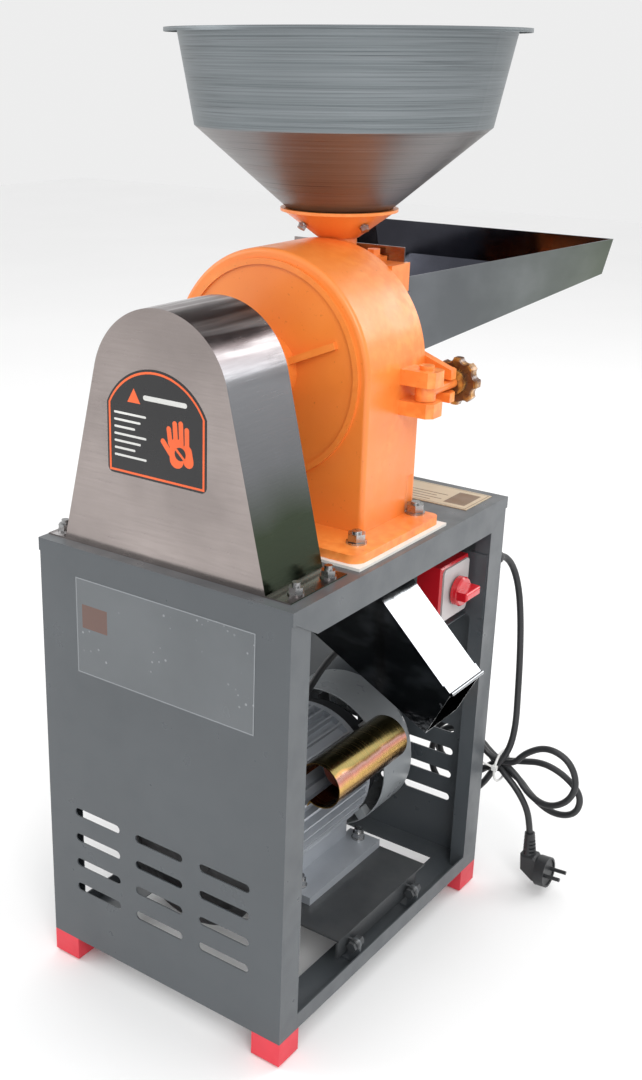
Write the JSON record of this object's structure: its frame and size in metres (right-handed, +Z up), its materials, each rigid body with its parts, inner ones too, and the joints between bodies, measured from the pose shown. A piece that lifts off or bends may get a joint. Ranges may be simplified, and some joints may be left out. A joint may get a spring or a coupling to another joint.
{
  "type": "hammer mill",
  "caption": "Electric grain hammer mill on a sheet-steel stand: orange drum with hinged door, round hopper, side feed tray, belt guard, outlet chute and a motor below.",
  "frame": {"origin": "on the floor, under the middle of the outline of the mill, stand and feed tray without the loose cord", "axes": "+Z up, -Y towards the belt guard, +Y towards the feed tray, +X towards the open side with switch and chute mouth"},
  "size_m": [0.4643, 0.6603, 1],
  "materials": {
    "stand_paint": "semi-gloss dark grey paint",
    "feet_red": "matt red plastic",
    "orange_paint": "satin orange paint on casting",
    "gasket_white": "matt white gasket",
    "steel_zinc": "zinc-plated steel",
    "bearing_steel": "polished",
    "cast_grey": "machined cast iron",
    "belt_rubber": "matt black",
    "stainless": "bright rolled stainless",
    "star_knob": "dark brown moulded plastic",
    "spun_steel": "spun grey zinc-coated sheet",
    "decal_black": "black printed label with orange marks",
    "film": "clear printed film",
    "name_beige": "printed plate",
    "tinplate": "bright tinplate",
    "motor_alu": "grey painted cast aluminium",
    "winding": "varnished copper windings and laminations",
    "motor_plastic": "black plastic",
    "motor_cover": "grey paint",
    "cap_case": "red-brown plastic",
    "yellow_zinc": "yellow chromate zinc",
    "plate_black": "black paint",
    "switch_red": "gloss red plastic",
    "switch_grey": "light grey plastic",
    "cord_black": "matt black",
    "tie_white": "white nylon"
  },
  "bodies": {
    "stand": {"front_panel": "stand_paint", "back_panel": "stand_paint", "top_plate": "stand_paint", "bottom_rail_right": "stand_paint", "bottom_rail_left": "stand_paint", "feet": "feet_red", "mill_housing": "orange_paint", "base_gasket": "gasket_white", "mill_bolts": "steel_zinc", "bearing_housing": "orange_paint", "mill_bearings": "bearing_steel", "belt": "belt_rubber", "sieve_ring": "stainless", "door_hinge_pins": "steel_zinc", "swing_pin": "orange_paint", "belt_guard": "stainless", "guard_bolts": "steel_zinc", "guard_decal": "decal_black", "panel_decal": "film", "name_plate": "name_beige", "chute": "tinplate", "hinge_brackets": "stand_paint", "hinge_bolts": "plate_black", "switch_bracket": "stand_paint", "switch_box": "switch_red", "switch_plate": "switch_grey", "cable_gland": "cord_black", "mains_cord": "cord_black", "motor_cable": "cord_black", "plug": "cord_black", "cable_tie": "tie_white"},
    "mill_rotor": {"mill_shaft": "steel_zinc", "mill_pulley": "cast_grey", "rotor_disc": "cast_grey"},
    "door": {"mill_door": "orange_paint", "fixed_disc": "cast_grey", "hopper_collar": "orange_paint", "hopper": "spun_steel", "feed_screws": "steel_zinc", "neck_bolt": "orange_paint", "baffle_plate": "stainless", "feed_tray": "stainless"},
    "clamp": {"swing_bolt": "orange_paint"},
    "clamp_knob": {"star_knob": "star_knob"},
    "switch_rotor": {"switch_knob": "switch_red"},
    "motor": {"motor_base": "plate_black", "motor_body": "motor_alu", "motor_end_front": "motor_alu", "motor_end_rear": "motor_alu", "motor_bearings": "bearing_steel", "motor_stator": "winding", "fan_cover": "motor_cover", "terminal_box": "motor_plastic", "terminal_lid": "motor_plastic", "capacitor": "cap_case", "capacitor_cover": "yellow_zinc", "motor_bolts": "steel_zinc"},
    "motor_rotor": {"motor_rotor": "steel_zinc", "motor_pulley": "cast_grey", "motor_fan": "motor_plastic"}
  },
  "joints": [
    {"name": "motor_base_tilt", "type": "hinge", "parent": "stand", "child": "motor", "pos_m": [0.135, -0.117, 0.058], "axis": [0, 1, 0], "range_deg": [0, 4], "deforming": ["belt", "motor_cable"]},
    {"name": "motor_spin", "type": "hinge", "parent": "motor", "child": "motor_rotor", "pos_m": [-0.026, -0.117, 0.162], "axis": [0, 1, 0], "continuous": true},
    {"name": "mill_spin", "type": "hinge", "parent": "stand", "child": "mill_rotor", "pos_m": [-0.023, -0.117, 0.674], "axis": [0, 1, 0], "continuous": true},
    {"name": "door_hinge", "type": "hinge", "parent": "stand", "child": "door", "pos_m": [-0.154, -0.035, 0.674], "axis": [0, 0, 1], "range_deg": [0, 100]},
    {"name": "clamp_swing", "type": "hinge", "parent": "stand", "child": "clamp", "pos_m": [0.12, -0.067, 0.657], "axis": [0, 0, -1], "range_deg": [0, 100]},
    {"name": "knob_turn", "type": "hinge", "parent": "clamp", "child": "clamp_knob", "pos_m": [0.12, -0.005, 0.657], "axis": [0, 1, 0], "range_deg": [-720, 720]},
    {"name": "switch_turn", "type": "hinge", "parent": "stand", "child": "switch_rotor", "pos_m": [0.124, 0.025, 0.414], "axis": [1, 0, 0], "range_deg": [0, 90]}
  ],
  "couplings": [
    {"joint": "mill_spin", "follows": "motor_spin", "ratio": 2}
  ]
}
